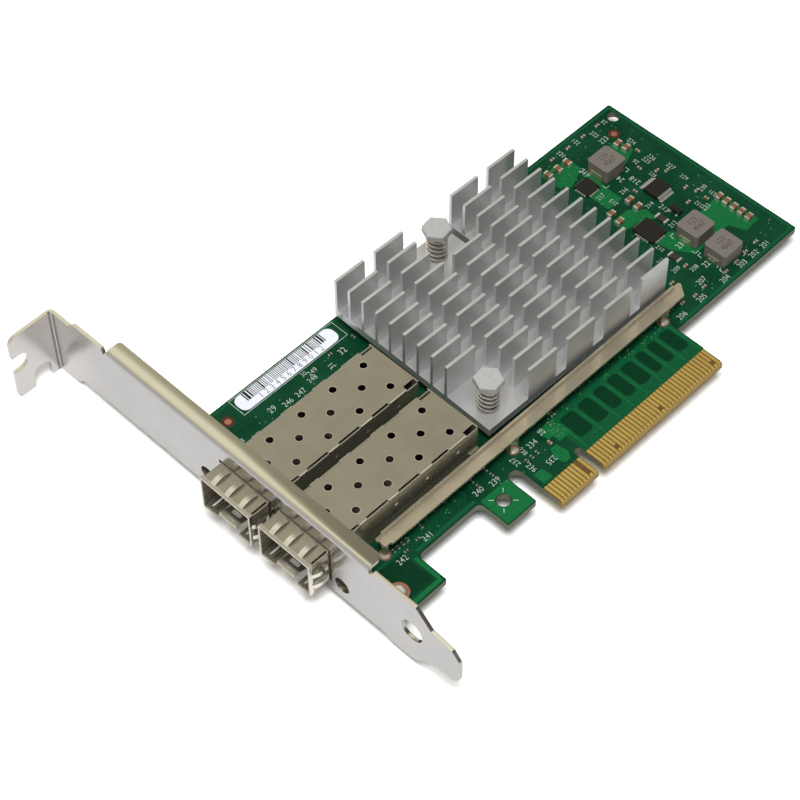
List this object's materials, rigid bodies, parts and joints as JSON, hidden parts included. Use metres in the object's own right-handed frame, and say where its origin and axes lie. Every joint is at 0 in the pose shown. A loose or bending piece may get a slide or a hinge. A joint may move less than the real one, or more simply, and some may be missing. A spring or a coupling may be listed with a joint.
{
  "type": "network interface card",
  "caption": "Low-profile network adapter board with a full-height bracket, open transceiver cages, a cross-cut heatsink held by push pins, and a gold card edge.",
  "frame": {"origin": "centre of the first card-edge contact at the bottom edge of the tongue, on the component face of the board", "axes": "+X along the card from the bracket to its rear, +Y from the card edge up to the board's top edge, +Z out of the component side"},
  "size_m": [0.1498, 0.12, 0.0208],
  "materials": {
    "board_green": "satin solder mask",
    "contact_gold": "polished",
    "bracket_steel": "satin nickel plate",
    "cage_metal": "satin nickel silver",
    "spring_steel": "bright",
    "black_plastic": "matte",
    "heatsink_aluminium": "satin",
    "pad_grey": "matte",
    "white_plastic": "satin",
    "bar_nickel": "satin nickel plate",
    "solder_bright": "bright",
    "copper": "satin",
    "inductor_grey": "matte",
    "ceramic_brown": "satin",
    "resistor_dark": "satin",
    "label_paper": "matte"
  },
  "bodies": {
    "root": {"circuit_board": "board_green", "edge_contacts_top": "contact_gold", "edge_contacts_under": "contact_gold", "bracket": "bracket_steel", "cage_cover_1": "cage_metal", "cage_cover_2": "cage_metal", "cage_floor_1": "cage_metal", "cage_floor_2": "cage_metal", "cage_springs_1": "spring_steel", "cage_springs_2": "spring_steel", "cage_connector_1": "black_plastic", "cage_connector_2": "black_plastic", "heatsink": "heatsink_aluminium", "controller_chip": "black_plastic", "thermal_pad": "pad_grey", "push_pins": "white_plastic", "push_pin_springs": "spring_steel", "stiffener_bar": "bar_nickel", "bracket_screws": "spring_steel", "plated_rings": "solder_bright", "fiducials": "copper", "inductors": "inductor_grey", "inductor_ends": "solder_bright", "small_converter_chip": "black_plastic", "small_converter_pads": "solder_bright", "large_converter_chip": "black_plastic", "large_converter_pads": "solder_bright", "gullwing_chip": "black_plastic", "gullwing_leads": "solder_bright", "transistor": "black_plastic", "transistor_leads": "solder_bright", "capacitors": "ceramic_brown", "capacitor_ends": "solder_bright", "resistors": "resistor_dark", "resistor_ends": "solder_bright", "small_passives": "ceramic_brown", "small_passive_ends": "solder_bright", "tiny_passives": "resistor_dark", "tiny_passive_ends": "solder_bright", "label": "label_paper"}
  },
  "joints": []
}
